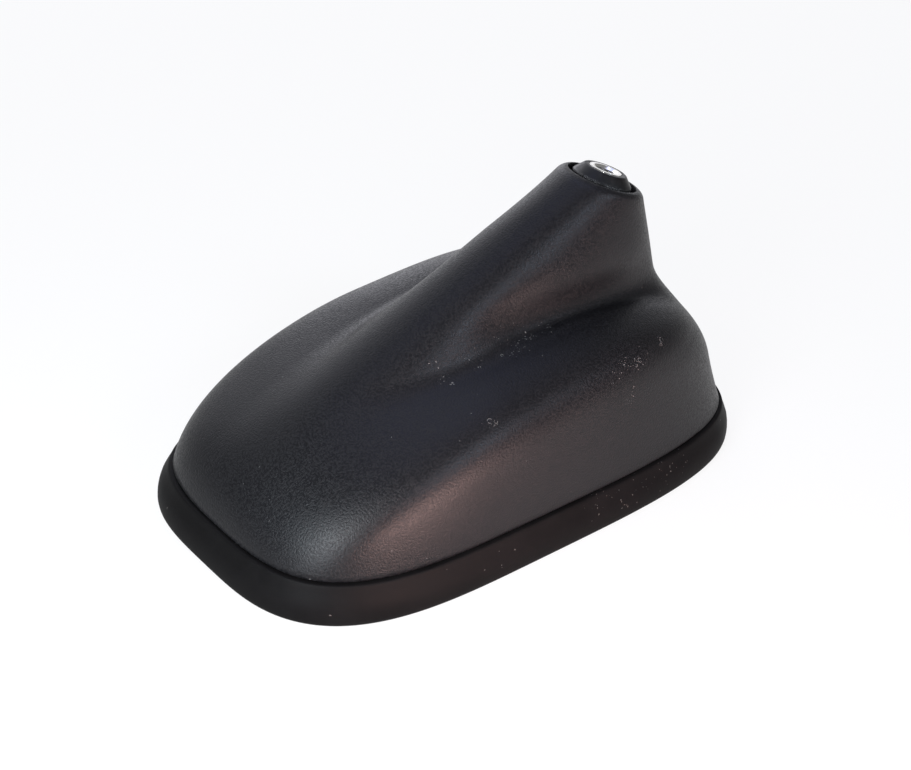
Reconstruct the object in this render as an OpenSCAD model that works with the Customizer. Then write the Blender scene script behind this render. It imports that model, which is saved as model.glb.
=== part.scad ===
// Roof antenna base for a vehicle, with its mast unscrewed. Millimetres.
// +X points to the front of the vehicle, +Y to its left, +Z up.
// The origin is on the axis of the roof stud, in the plane of the roof skin.

/* [Cover outline] */
// Length of the cover along its lower edge
cover_length = 122; // [112:1:132]
// Half width of the cover where it is widest
cover_half_width = 32.1; // [30:0.1:35]
// How square the nose end is, 2 for an ellipse
nose_squareness = 3.36; // [2.4:0.01:4]
// How square the tail end is, 2 for an ellipse
tail_squareness = 3.92; // [2.4:0.01:4.5]
// Place of the widest section, forward of the stud
widest_x = 8.4; // [0:0.1:16]
// Widening of the nose over the tail
side_taper = 2.2; // [0:0.1:4]
// Height of the cover's lower edge over the roof
edge_z = 8.6; // [8:0.1:10]
// Wall of the cover
wall = 2.2; // [1.8:0.1:2.6]

/* [Dome] */
// Height of the dome over the roof at the stud
dome_z = 37; // [35:0.1:39]
// Fall of the dome from the stud to the nose
dome_fall = 6.8; // [5:0.1:8]
// Arching of the dome from the stud to either end
dome_arch = 8.9; // [7:0.1:10]
// Lift of the nose end and drop of the tail end
dome_bend = 2.2; // [0:0.1:3]
// Arching of the dome across, 20 mm from the middle
cross_arch = 2.65; // [1:0.05:4]
// Flattening of that arch at the same place
cross_flat = 2; // [0:0.1:2.5]
// Rounding of the shoulder between wall and dome
shoulder_r = 14; // [10:0.1:17]
// Growth of that rounding towards the nose
shoulder_grow = 1.1; // [-1:0.1:3]

/* [Cover wall] */
// Lean of the side walls inwards, for each length up
lean_side = 0.087; // [0.04:0.001:0.14]
// Lean of the nose's wall
lean_nose = 0.049; // [0:0.001:0.1]
// Lean of the tail's wall
lean_tail = 0.194; // [0.12:0.001:0.26]
// Further lean of the side walls, 20 mm up
curl_side = 0.06; // [0:0.001:0.12]
// Further lean of the nose's wall
curl_nose = 0.167; // [0.1:0.001:0.24]
// Further lean of the tail's wall
curl_tail = -0.06; // [-0.1:0.001:0.1]
// How much rounder in plan the cover is, 20 mm up
upper_round = 0.63; // [0:0.01:0.9]

/* [Stem] */
// Place of the mouth's centre behind the stud
mouth_back = 31.6; // [29:0.1:34]
// Height of the mouth's centre over the roof
mouth_z = 59.3; // [56:0.1:64]
// Lean of the mast's axis to the rear, in degrees
lean = 18.4; // [14:0.1:22]
// Radius of the open mouth
mouth_r = 7.5; // [7.2:0.1:8.2]
// Rounding of the mouth's rim
rim_round = 1.3; // [0.8:0.1:1.8]
// Widening of the stem to the front, for each length down the axis
flare_front = 0.99; // [0.8:0.01:1.1]
// Widening of the stem to the rear
flare_rear = 0.887; // [0.7:0.001:1]
// Widening of the stem to each side
flare_side = 0.13; // [0.1:0.01:0.2]
// Further widening to each side, for each length squared
flare_spread = 0.0023; // [0:0.0001:0.004]
// How square the stem's section is in front, 2 for an ellipse
section_front = 2.33; // [2:0.01:2.6]
// How square the stem's section is behind
section_rear = 2.46; // [2:0.01:3]
// Depth under the mouth at which the section is fully squared
section_run = 15.9; // [10:0.1:24]
// Fillet between stem and dome
foot_blend = 2.5; // [1.5:0.1:4]
// Growth of that fillet, 30 mm to the rear
foot_grow = 0.65; // [0:0.05:1.2]
// Rounding where the stem's ridge runs down into the nose's wall
ridge_round = 8.3; // [4:0.1:12]

/* [Scoops] */
// Depth of the scoop on each side of the stem's foot
scoop_depth = 2.15; // [0.5:0.05:2.5]
// Half length of a scoop
scoop_length = 23.5; // [14:0.5:26]
// Half width of a scoop
scoop_width = 2.7; // [2.2:0.1:4]
// Distance of a scoop from the middle
scoop_y = 10.6; // [9.5:0.1:13]
// Place of a scoop's middle in front of the mouth's centre
scoop_front = 12.9; // [8:0.1:16]
// Height of a scoop's middle over the dome's height at the stud
scoop_lift = 1.9; // [0:0.1:4]

/* [Gasket] */
// How far the gasket stands out past the cover
gasket_reach = 2.9; // [2:0.1:3.5]
// Thickness of the pad under the base plate
pad_t = 2.6; // [2:0.1:3.2]

/* [Base plate] */
// Thickness of the base plate
plate_t = 3; // [2.6:0.1:3.6]
// Outer radius of the hollow roof stud
stud_r = 7; // [6:0.5:8]
// Bore radius of the roof stud
stud_bore_r = 4.8; // [4:0.1:5]
// Length of the stud under the roof plane
stud_length = 18; // [14:1:24]
// Clearance round the stud in the gasket
stud_gap = 1; // [0.9:0.1:1.4]

/* [Mast socket] */
// Outer radius of the threaded insert
insert_r = 3.5; // [3.3:0.1:3.9]
// Bore radius before the M5 thread is cut
thread_r = 2.1; // [2:0.05:2.2]
// Depth of the threaded bore
thread_depth = 10; // [8:0.5:11]
// Height of the collar above the mouth
collar_h = 1.9; // [1:0.1:3]
// Gap between collar and mouth
collar_gap = 1.1; // [0.9:0.1:1.4]

/* [Circuit board] */
// Length of the circuit board
board_l = 46; // [42:1:50]
// Width of the circuit board
board_w = 32; // [28:1:36]
// Thickness of the circuit board
board_t = 1.6; // [1:0.1:2]
// Height of the posts under the board
post_h = 5; // [4:0.5:7]

/* [Hidden] */
$fn = 48;

// Points round the cover and rings up it
round_n = 88;
outer_n = 44;
inner_n = 16;
// Halvings when a ray looks for the surface
halvings = 15;

nose_length = cover_length / 2 - widest_x;
tail_length = cover_length / 2 + widest_x;
// The rays start at a point inside the cover
heart = [-6, 0, edge_z];
// The dome slopes, so the distance to it is this share of the height over it
dome_slope = 0.93;

mouth = [-mouth_back, 0, mouth_z];
mast_axis = [-sin(lean), 0, cos(lean)];
mast_front = [cos(lean), 0, sin(lean)];
side = [0, 1, 0];

// Depth of the mouth's plain bore before the inside opens out
bore_depth = 9;
// Clear gap between pieces that pass each other
gap = 0.3;

plate_z = pad_t;
deck_z = plate_z + plate_t;
board_z = deck_z + post_h;
board_top = board_z + board_t;
board_back = -7;

// Outline of the cover in plan

// 1 at the nose and 0 at the tail, with a smooth change between them
function nose_share(c) = 0.5 + 0.5 * c / sqrt(c * c + 0.08);
function squareness(c) = tail_squareness + (nose_squareness - tail_squareness) * nose_share(c);
function end_length(c) = c >= 0 ? nose_length : tail_length;
// Distance from the widest section's middle to the outline, in a direction with this cosine and sine
function plan_reach(c, s, rounder = 0) =
    let (n = squareness(c) - rounder)
    pow(pow(abs(c) / end_length(c), n) + pow(abs(s) / cover_half_width, n), -1 / n);
function taper(x) = 1 + side_taper / cover_half_width * x / cover_length;
function plan_point(a) =
    let (reach = plan_reach(cos(a), sin(a)), x = widest_x + reach * cos(a))
    [x, reach * sin(a) * taper(x)];
// The same point moved outwards by off, square to the outline
function plan_offset(a, off) =
    let (d = plan_point(a + 0.2) - plan_point(a - 0.2), p = plan_point(a))
    p + off / norm(d) * [d[1], -d[0]];
// Angles that crowd towards the nose and tail, where the outline is far from its middle
function plan_angle(i, n) = 360 * i / n - 13 * sin(720 * i / n);
function plan_ring(n, off) = [for (i = [0 : n - 1]) plan_offset(plan_angle(i, n), off)];

// Outer form of the cover, as a measure that is negative inside, zero on the surface and
// about as large as the distance in millimetres

// The lower or the higher of two measures, with a rounded change between them
function smooth_low(a, b, k) = min(a, b) - pow(max(k - abs(a - b), 0), 2) / (4 * k);
function smooth_high(a, b, k) = max(a, b) + pow(max(k - abs(a - b), 0), 2) / (4 * k);
// A value in the direction with this cosine, from the values at the side, the nose and the tail
function toward(c, at_side, at_nose, at_tail) =
    at_side + ((c > 0 ? at_nose : at_tail) - at_side) * c * c;
function cover_wall(x, y, z) =
    let (
        dx = x - widest_x,
        dy = y / taper(x),
        r = norm([dx, dy]) + 0.000001,
        c = dx / r,
        rise = z - edge_z,
        rounder = upper_round * min(max(rise / 20, 0), 1)
    )
    cover_half_width * (r / plan_reach(c, dy / r, rounder) - 1)
    + toward(c, lean_side, lean_nose, lean_tail) * rise
    + toward(c, curl_side, curl_nose, curl_tail) * rise * abs(rise) / 20;
function dome_height(x, y) =
    let (q = 2 * x / cover_length, w = pow(y / 20, 2))
    dome_z - dome_fall * q - dome_arch * q * q + dome_bend * pow(q, 3)
    - cross_arch * w + cross_flat * w * w;
// Rounding of the rim at a depth under the mouth
function rim(depth) = rim_round * sqrt(1 - pow(1 - min(depth / rim_round, 1), 2));
function stem_side(depth) = mouth_r + rim(depth) + flare_side * depth + flare_spread * depth * depth;
function stem(x, y, z) =
    let (
        d = [x, y, z] - mouth,
        depth = max(-d * mast_axis, 0),
        along = d * mast_front,
        flare = along > 0 ? flare_front : flare_rear,
        reach = mouth_r + rim(depth) + flare * depth,
        width = stem_side(depth),
        squared = min(depth / section_run, 1),
        n = 2 + ((along > 0 ? section_front : section_rear) - 2) * squared
    )
    width * (pow(pow(abs(along) / reach, n) + pow(abs(y) / width, n), 1 / n) - 1);
// The scoop is a hollow along the stem's foot, deepest in its middle
function scoop(x, y, z) =
    let (
        along = (x - mouth[0] - scoop_front) / scoop_length,
        across = (abs(y) - scoop_y) / scoop_width,
        up = (z - dome_z - scoop_lift) / (2 * scoop_width)
    )
    scoop_depth * exp(-pow(along, 4) - across * across - up * up);
// Dome and stem are joined by a fillet, hollowed by the scoops and cut off at the mouth
function form(p) =
    let (
        x = p[0],
        y = p[1],
        z = p[2],
        beside = cover_wall(x, y, z),
        above = dome_slope * (z - dome_height(x, y)),
        dome = smooth_high(beside, above, max(shoulder_r + shoulder_grow * 2 * x / cover_length, 1)),
        ridge = smooth_high(stem(x, y, z), beside, ridge_round),
        fillet = max(foot_blend - foot_grow * (x + 10) / 30, 0.5)
    )
    max(smooth_low(dome, ridge, fillet) + scoop(x, y, z), (p - mouth) * mast_axis);

// Point where the ray from the heart along d leaves the form
function meet(d, near, far, n) =
    let (middle = (near + far) / 2)
    n == 0 ? heart + middle * d :
    form(heart + middle * d) < 0 ? meet(d, middle, far, n - 1) :
    meet(d, near, middle, n - 1);
function unit(v) = v / norm(v);
// Direction square to the surface, outwards
function square_out(p) =
    unit([for (step = [[0.1, 0, 0], [0, 0.1, 0], [0, 0, 0.1]]) form(p + step) - form(p - step)]);
// Direction a share w of the way from a to b
function swing(a, b, w) =
    let (turn = acos(a * b))
    (sin((1 - w) * turn) * a + sin(w * turn) * b) / sin(turn);
// Point on a circle about the mast's axis, at a depth under the mouth
function mast_ring(turn, r, depth) =
    mouth - depth * mast_axis + r * (cos(turn) * mast_front + sin(turn) * side);

// One column of points from the lower edge over the outside to the mouth and down the inside
function cover_column(a) =
    let (
        foot = plan_point(a),
        turn = atan2(foot[1], foot[0] - heart[0]),
        low = unit([foot[0], foot[1], edge_z] - heart),
        rim_point = mast_ring(turn, mouth_r, 0),
        step_point = mast_ring(turn, stem_side(bore_depth) - wall, bore_depth),
        high = unit(rim_point - heart),
        inner_high = unit(step_point - heart),
        far = 0.8 * cover_length
    )
    concat(
        [for (i = [0 : outer_n - 1])
            meet(swing(low, high, 1 - pow(1 - i / outer_n, 1.6)), mouth_r, far, halvings)],
        [rim_point, mast_ring(turn, mouth_r, bore_depth), step_point],
        [for (i = [inner_n - 1 : -1 : 0])
            let (
                p = meet(swing(low, inner_high, i / inner_n), mouth_r, far, halvings),
                q = p - wall * square_out(p)
            )
            [q[0], q[1], i == 0 ? edge_z : q[2]]]
    );
function mirrored(column) = [for (p = column) [p[0], -p[1], p[2]]];

// Closed skin over columns of points, each column a closed loop itself
module ring_skin(columns) {
    n = len(columns);
    m = len(columns[0]);
    points = [for (c = columns) for (p = c) p];
    faces = [
        for (i = [0 : n - 1]) for (j = [0 : m - 1])
            let (
                a = i * m + j,
                b = ((i + 1) % n) * m + j,
                c = ((i + 1) % n) * m + (j + 1) % m,
                d = i * m + (j + 1) % m
            )
            each [[a, c, b], [a, d, c]]
    ];
    polyhedron(points, faces, convexity = 6);
}

// Places of the four cover screws
screw_x = cover_length / 2 - 14;
screw_y = cover_half_width - 16;
screw_places = [for (sx = [-1, 1]) for (sy = [-1, 1]) [sx * screw_x, sy * screw_y]];
screw_r = 1.4;
screw_head_r = 2.7;
screw_head_h = 1.7;
screw_reach = 9;
boss_r = 3.4;

// Height of the cover over a place
function outer_z(x, y, low, high, n) =
    let (middle = (low + high) / 2)
    n == 0 ? middle :
    form([x, y, middle]) < 0 ? outer_z(x, y, middle, high, n - 1) :
    outer_z(x, y, low, middle, n - 1);
// Height of the middle of the wall over a place
function wall_z(x, y) =
    let (z = outer_z(x, y, edge_z, mouth_z, halvings))
    z - wall / 2 / square_out([x, y, z])[2];

// A boss from just over the base plate up into the dome
module screw_boss(x, y) {
    n = 16;
    top = [for (i = [0 : n - 1])
        let (px = x + boss_r * cos(360 * i / n), py = y + boss_r * sin(360 * i / n))
        [px, py, wall_z(px, py)]];
    foot = [for (p = top) [p[0], p[1], deck_z + gap]];
    crown = [x, y, wall_z(x, y)];
    polyhedron(
        concat(foot, top, [crown]),
        concat(
            [[for (i = [0 : n - 1]) i]],
            [for (i = [0 : n - 1]) [i, n + i, n + (i + 1) % n]],
            [for (i = [0 : n - 1]) [i, n + (i + 1) % n, (i + 1) % n]],
            [for (i = [0 : n - 1]) [n + i, 2 * n, n + (i + 1) % n]]
        )
    );
}

module cover() {
    half = [for (i = [0 : round_n / 2]) cover_column(plan_angle(i, round_n))];
    other = [for (i = [round_n / 2 - 1 : -1 : 1]) mirrored(half[i])];
    color([0.13, 0.13, 0.14])
    difference() {
        union() {
            ring_skin(concat(half, other));
            for (p = screw_places) screw_boss(p[0], p[1]);
        }
        for (p = screw_places)
            translate([p[0], p[1], deck_z]) cylinder(r = screw_r, h = screw_reach);
    }
}

// Gasket

// Section of the gasket's rim, as distance past the cover's outline and height over the roof
gasket_in = wall + gap;
pad_edge = gasket_in + 4;
gasket_seat = edge_z - gap;
rim_section = [
    [-pad_edge, 0],
    [gasket_reach - 1.1, 0],
    [gasket_reach - 0.35, 0.35],
    [gasket_reach, 1.3],
    [gasket_reach - 0.1, 2.8],
    [gasket_reach - 0.6, 0.6 * gasket_seat],
    [0.45 * gasket_reach, 0.84 * gasket_seat],
    [0.3 * gasket_reach, 0.97 * gasket_seat],
    [0.2 * gasket_reach, gasket_seat],
    [-gasket_in, gasket_seat],
    [-gasket_in, pad_t],
    [-pad_edge, pad_t],
];
lug_x = -22;
lug_l = 8;
lug_w = 5;
lug_drop = 4;

// Ring between two distances inside the cover's outline
module seal_ring(h, from, to) {
    linear_extrude(h) difference() {
        polygon(plan_ring(round_n, -from));
        polygon(plan_ring(round_n, -to));
    }
}

module roof_gasket() {
    n = round_n;
    color([0.11, 0.11, 0.11])
    difference() {
        union() {
            ring_skin([for (i = [0 : n - 1])
                [for (s = rim_section)
                    let (p = plan_offset(plan_angle(i, n), s[0]))
                    [p[0], p[1], s[1]]]]);
            linear_extrude(pad_t) polygon(plan_ring(n, 1 - pad_edge));
        }
        translate([0, 0, -1]) cylinder(r = stud_r + stud_gap, h = pad_t + 2);
        translate([lug_x - lug_l / 2 - gap, -lug_w / 2 - gap, -1])
            cube([lug_l + 2 * gap, lug_w + 2 * gap, pad_t + 2]);
    }
}

// Base plate with its hollow stud
plate_in = gasket_in + gap;
// The rib stands inside the cover's wall and holds the seal in a groove
rib_in = plate_in + 2 * gap;
rib_w = 2.4;
rib_z = edge_z + 1.8;
cover_seal_w = 1.3;
cover_seal_h = 1;
cover_seal_z = edge_z + 0.4;
board_posts = [for (px = [4, board_l - 4]) for (sy = [-1, 1]) [board_back + px, sy * (board_w / 2 - 4)]];
post_r = 2.6;
board_screw_r = 1;

module base_plate() {
    color([0.62, 0.63, 0.65])
    difference() {
        union() {
            translate([0, 0, plate_z]) linear_extrude(plate_t) polygon(plan_ring(round_n, -plate_in));
            difference() {
                translate([0, 0, plate_z]) linear_extrude(rib_z - plate_z)
                    polygon(plan_ring(round_n, -rib_in));
                translate([0, 0, deck_z]) linear_extrude(rib_z)
                    polygon(plan_ring(round_n, -rib_in - rib_w));
                translate([0, 0, cover_seal_z])
                    seal_ring(cover_seal_h + gap / 2, rib_in - 1, rib_in + cover_seal_w);
            }
            translate([0, 0, -stud_length]) cylinder(r = stud_r, h = stud_length + deck_z);
            translate([lug_x - lug_l / 2, -lug_w / 2, -lug_drop]) cube([lug_l, lug_w, lug_drop + deck_z]);
            for (p = board_posts) translate([p[0], p[1], plate_z])
                cylinder(r = post_r, h = board_z - plate_z);
        }
        translate([0, 0, -stud_length - 1]) cylinder(r = stud_bore_r, h = stud_length + deck_z + 2);
        for (p = board_posts) translate([p[0], p[1], deck_z - 1]) cylinder(r = board_screw_r, h = board_z);
        for (p = screw_places) translate([p[0], p[1], 0]) {
            cylinder(r = screw_r + gap, h = deck_z + 1);
            cylinder(r = screw_head_r + gap, h = plate_z + screw_head_h);
        }
        for (p = tower_places) translate([p[0], p[1], plate_z + 0.8]) cylinder(r = screw_r, h = plate_t);
    }
}

module cover_seal() {
    color([0.12, 0.12, 0.12])
    translate([0, 0, cover_seal_z])
        seal_ring(cover_seal_h, rib_in - gap, rib_in + cover_seal_w - gap / 2);
}

// Tower that carries the mast, with its collar in the cover's mouth
collar_r = mouth_r - collar_gap;
collar_top_r = insert_r + 1;
tower_foot_r = 8;
tower_bore_r = 4.6;
flange_t = 3;
// Place where the mast's axis meets the base plate
foot_x = -mouth_back + (mouth_z - deck_z) * tan(lean);
foot_depth = (mouth_z - deck_z) / cos(lean);
flange_l = 26;
flange_w = 24;
flange_back = foot_x - flange_l + 8;
tower_places = [for (sy = [-1, 1]) [flange_back + 4, sy * (flange_w / 2 - 4)]];
insert_depth = thread_depth + 1.5;
groove_depth = 4;
seal_r = 0.85;
// Radius of the ring that the seal's section runs round
seal_ring_r = mouth_r - gap / 2 - seal_r;
strip_w = 3;
strip_t = 0.5;
strip_z = board_top + 1.4;

// Everything inside is drawn about the mast's axis, with the mouth at height 0
module on_mast() {
    translate(mouth) rotate([0, -lean, 0]) children();
}

module mast_tower() {
    color([0.12, 0.12, 0.12])
    difference() {
        union() {
            translate([flange_back, -flange_w / 2, deck_z]) cube([flange_l, flange_w, flange_t]);
            difference() {
                on_mast() translate([0, 0, -foot_depth - tower_foot_r]) cylinder(
                    r1 = tower_foot_r, r2 = collar_r, h = foot_depth + tower_foot_r - 2 * groove_depth
                );
                translate([foot_x - 40, -40, deck_z - 80]) cube([80, 80, 80]);
            }
            on_mast() translate([0, 0, -2 * groove_depth - 0.01])
                cylinder(r = collar_r, h = 2 * groove_depth + 0.01);
            on_mast() cylinder(r1 = collar_r, r2 = collar_top_r, h = collar_h);
        }
        on_mast() translate([0, 0, -insert_depth - 0.02])
            cylinder(r = insert_r + 0.02, h = insert_depth + collar_h + 1);
        on_mast() translate([0, 0, -foot_depth - 20])
            cylinder(r = tower_bore_r, h = foot_depth + 20 - insert_depth - 3);
        on_mast() translate([0, 0, -insert_depth - 4]) cylinder(r = 1.8, h = 5);
        on_mast() rotate_extrude() translate([seal_ring_r, -groove_depth]) circle(r = seal_r + 0.05);
        translate([foot_x - 4, -strip_w / 2 - 1, deck_z + flange_t])
            cube([20, strip_w + 2, strip_z - deck_z - flange_t + 3]);
        for (p = tower_places) translate([p[0], p[1], deck_z - 1])
            cylinder(r = screw_r + gap, h = flange_t + 2);
    }
}

module mast_socket() {
    color([0.8, 0.79, 0.76])
    on_mast() difference() {
        union() {
            translate([0, 0, -insert_depth]) cylinder(r = insert_r, h = insert_depth + collar_h + 0.1);
            translate([0, 0, -insert_depth - 3.5]) cylinder(r = 1.4, h = 4);
        }
        translate([0, 0, collar_h + 0.1 - thread_depth]) cylinder(r = thread_r, h = thread_depth + 1);
        translate([0, 0, collar_h - 0.4]) cylinder(r1 = thread_r, r2 = thread_r + 0.5, h = 0.5);
        translate([0, 0, collar_h + 0.09]) cylinder(r = thread_r + 0.5, h = 1);
    }
}

module tower_seal() {
    color([0.1, 0.1, 0.1])
    on_mast() rotate_extrude() translate([seal_ring_r, -groove_depth]) circle(r = seal_r);
}

// Pan head screw with its head's underside at height 0, pointing up
module screw(r, reach, head_r, head_h) {
    translate([0, 0, -head_h]) difference() {
        cylinder(r = head_r, h = head_h);
        translate([0, 0, -1]) cylinder(r = head_r / 2, h = 1 + head_h / 2, $fn = 6);
    }
    translate([0, 0, -0.01]) cylinder(r = r, h = reach);
}

module cover_screws() {
    color([0.55, 0.56, 0.58])
    for (p = screw_places) translate([p[0], p[1], plate_z + screw_head_h])
        screw(screw_r - 0.05, deck_z - plate_z - screw_head_h + screw_reach - 1, screw_head_r, screw_head_h);
}

module tower_screws() {
    color([0.55, 0.56, 0.58])
    for (p = tower_places) translate([p[0], p[1], deck_z + flange_t]) mirror([0, 0, 1])
        screw(screw_r - 0.05, flange_t + plate_t - 1, screw_head_r, screw_head_h);
}

module board_screws() {
    color([0.55, 0.56, 0.58])
    for (p = board_posts) translate([p[0], p[1], board_top]) mirror([0, 0, 1])
        screw(board_screw_r - 0.05, board_t + post_h - 0.5, 1.9, 1.2);
}

// Circuit board and what is on it
module circuit_board() {
    color([0.1, 0.32, 0.2])
    translate([0, 0, board_z]) difference() {
        translate([board_back, -board_w / 2, 0]) cube([board_l, board_w, board_t]);
        for (p = board_posts) translate([p[0], p[1], -1]) cylinder(r = board_screw_r + gap, h = board_t + 2);
    }
}

jack_flange_r = 4.2;
jack_flange_t = 1.5;
jack_r = 2.9;
jack_wall = 0.7;
jack_pin_r = 0.45;
jack_drop = 2;
jack_depth = 4;

module coax_jack() {
    color([0.82, 0.7, 0.36])
    difference() {
        union() {
            translate([0, 0, board_z - jack_flange_t]) cylinder(r = jack_flange_r, h = jack_flange_t);
            translate([0, 0, deck_z - jack_drop])
                cylinder(r = jack_r, h = post_h + jack_drop - jack_flange_t / 2);
        }
        translate([0, 0, deck_z - jack_drop - 1]) difference() {
            cylinder(r = jack_r - jack_wall, h = jack_depth + 1);
            translate([0, 0, -1]) cylinder(r = jack_pin_r, h = jack_depth + 3);
        }
    }
}

grommet_h = 8;
grommet_lip = 1;
grommet_lip_t = 1.5;
lead_r = 2;

module stud_grommet() {
    color([0.14, 0.14, 0.14])
    difference() {
        union() {
            translate([0, 0, -stud_length]) cylinder(r = stud_bore_r - 0.02, h = grommet_h);
            translate([0, 0, -stud_length - grommet_lip_t])
                cylinder(r = stud_bore_r + grommet_lip, h = grommet_lip_t);
        }
        translate([0, 0, -stud_length - grommet_lip_t - 1])
            cylinder(r = lead_r, h = grommet_h + grommet_lip_t + 2);
    }
}

// Spring strip from the insert's foot down the tower and out to the board
strip_back = foot_x - (strip_z - deck_z) * tan(lean);
strip_top = insert_depth + 3.5;
strip_depth = (mouth_z - strip_z) / cos(lean);

module feed_strip() {
    color([0.8, 0.62, 0.3])
    union() {
        on_mast() translate([-strip_t / 2, -strip_w / 2, -strip_depth])
            cube([strip_t, strip_w, strip_depth - strip_top]);
        translate([strip_back - strip_t, -strip_w / 2, strip_z - strip_t / 2])
            cube([board_back + 6 - strip_back + strip_t, strip_w, strip_t]);
    }
}

module feed_contact() {
    color([0.8, 0.62, 0.3])
    translate([board_back + 2, -strip_w / 2, board_top])
        cube([4, strip_w, strip_z - strip_t / 2 - board_top]);
}

can_l = 26;
can_w = 20;
can_h = 5;
can_t = 0.4;
can_x = board_back + 12;
vent_r = 0.9;
vent_step = 5;

module shield_can() {
    color([0.75, 0.76, 0.78])
    translate([can_x, -can_w / 2, board_top]) difference() {
        cube([can_l, can_w, can_h]);
        translate([can_t, can_t, -1]) cube([can_l - 2 * can_t, can_w - 2 * can_t, can_h + 1 - can_t]);
        for (i = [0 : 3]) for (j = [0 : 2])
            translate([can_l / 2 + vent_step * (i - 1.5), can_w / 2 + vent_step * (j - 1), 0])
                cylinder(r = vent_r, h = can_h + 1);
    }
}

chip_w = 6;
chip_h = 1.4;

module amplifier_chip() {
    color([0.1, 0.1, 0.1])
    translate([can_x + chip_w, -chip_w / 2, board_top]) cube([chip_w, chip_w, chip_h]);
}

coil_r = 2.2;
coil_h = 2.6;
coil_bore_r = 1;
coil_floor = 0.6;
coil_x = can_x + 17;
coil_y = 5;

module filter_coils() {
    color([0.78, 0.42, 0.2])
    for (sy = [-1, 1]) translate([coil_x, sy * coil_y, board_top]) difference() {
        cylinder(r = coil_r, h = coil_h);
        translate([0, 0, coil_floor]) cylinder(r = coil_bore_r, h = coil_h);
    }
}

part_l = 2;
part_w = 1.2;
capacitor_h = 1;
resistor_h = 0.6;
part_step = 3.6;
part_count = 6;
part_x = can_x + 3;
// The small parts stand in a row inside each long wall of the can
part_y = can_w / 2 - can_t - 1;

module chip_capacitors() {
    color([0.62, 0.5, 0.36])
    for (i = [0 : part_count - 1]) translate([part_x + part_step * i, part_y - part_w, board_top])
        cube([part_l, part_w, capacitor_h]);
}

module chip_resistors() {
    color([0.12, 0.12, 0.13])
    for (i = [0 : part_count - 1]) translate([part_x + part_step * i, -part_y, board_top])
        cube([part_l, part_w, resistor_h]);
}

cover();
roof_gasket();
base_plate();
mast_tower();
mast_socket();
tower_seal();
cover_seal();
cover_screws();
tower_screws();
board_screws();
circuit_board();
coax_jack();
stud_grommet();
feed_strip();
feed_contact();
shield_can();
amplifier_chip();
filter_coils();
chip_capacitors();
chip_resistors();
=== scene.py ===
import math

import bmesh
import bpy
import numpy as np
from mathutils import Matrix, Quaternion, Vector


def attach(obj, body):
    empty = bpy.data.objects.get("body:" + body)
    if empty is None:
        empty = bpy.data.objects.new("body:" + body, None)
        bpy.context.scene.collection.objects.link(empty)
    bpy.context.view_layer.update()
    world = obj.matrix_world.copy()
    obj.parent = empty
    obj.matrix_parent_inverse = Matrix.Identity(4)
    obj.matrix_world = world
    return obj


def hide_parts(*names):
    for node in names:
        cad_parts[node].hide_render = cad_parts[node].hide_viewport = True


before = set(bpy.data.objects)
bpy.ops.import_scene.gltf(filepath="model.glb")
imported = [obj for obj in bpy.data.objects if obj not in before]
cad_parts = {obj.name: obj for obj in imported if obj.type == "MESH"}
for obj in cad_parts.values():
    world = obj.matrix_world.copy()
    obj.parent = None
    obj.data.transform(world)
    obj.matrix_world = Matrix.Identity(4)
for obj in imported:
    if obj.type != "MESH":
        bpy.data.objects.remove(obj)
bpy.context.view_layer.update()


# Roof gasket
# The real gasket is one moulding of black rubber under the whole base. Its rim stands
# proud of the cover, swells out to a rounded lower edge and lies flat on the roof skin.

# Lengths are in millimetres, as in the solids, and skin() brings them to the frame's metres.
# The cover's outline is squarish at both ends, widest ahead of the middle and tapers to the tail.
cover_length, cover_half_width = 122.0, 32.1
nose_squareness, tail_squareness, square_blend = 3.36, 3.92, 0.08
widest_x, side_taper = 8.4, 2.2
nose_length = cover_length / 2 - widest_x
tail_length = cover_length / 2 + widest_x
# The cover's edge lies this high, and fits over the gasket with this clearance
edge_z, clear = 8.6, 0.3
gasket_reach, pad_t = 2.9, 2.6
stud_r, stud_gap = 7.0, 1.0


def plan_reach(c, s, more=0.0):
    """How far the cover's outline lies from its middle in the direction with cosine c and sine s."""
    to_nose = 0.5 + 0.5 * c / np.sqrt(c * c + square_blend)
    n = tail_squareness + (nose_squareness - tail_squareness) * to_nose + more
    end = np.where(c >= 0, nose_length, tail_length)
    return ((np.abs(c) / end) ** n + (np.abs(s) / cover_half_width) ** n) ** (-1 / n)


def taper(x):
    """The outline's width at x, as a share of its width in the middle."""
    return 1 + side_taper / cover_half_width * x / cover_length


def plan_point(a):
    """The outline's point at angle a."""
    c, s = np.cos(a), np.sin(a)
    reach = plan_reach(c, s)
    x = widest_x + reach * c
    return np.stack([x, reach * s * taper(x)], -1)


def plan_offset(a, off):
    """The outline's point at angle a, moved outwards by off."""
    step = 0.003
    d = plan_point(a + step) - plan_point(a - step)
    d /= np.linalg.norm(d, axis=-1, keepdims=True)
    return plan_point(a) + off * np.stack([d[..., 1], -d[..., 0]], -1)


def plan_angles(n):
    """Angles round the outline that crowd towards its two ends."""
    crowding = math.radians(13)
    i = np.arange(n) / n * 2 * math.pi
    return i - crowding * np.sin(2 * i)


def at_height(ring, z):
    """A ring of plan points as points in space."""
    return np.column_stack([ring, np.full(len(ring), z)])


def in_scene(name, data):
    """Puts a mesh, a light or the camera into the scene."""
    made = bpy.data.objects.new(name, data)
    bpy.context.scene.collection.objects.link(made)
    return made


def tidy(mesh, near=2e-6):
    """Joins doubled points, drops flat slivers and turns every face outwards."""
    b = bmesh.new()
    b.from_mesh(mesh)
    bmesh.ops.remove_doubles(b, verts=b.verts, dist=near)
    bmesh.ops.dissolve_degenerate(b, edges=b.edges, dist=near / 4)
    bmesh.ops.recalc_face_normals(b, faces=b.faces)
    if b.calc_volume(signed=True) < 0:
        bmesh.ops.reverse_faces(b, faces=b.faces)
    b.to_mesh(mesh)
    b.free()


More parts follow.
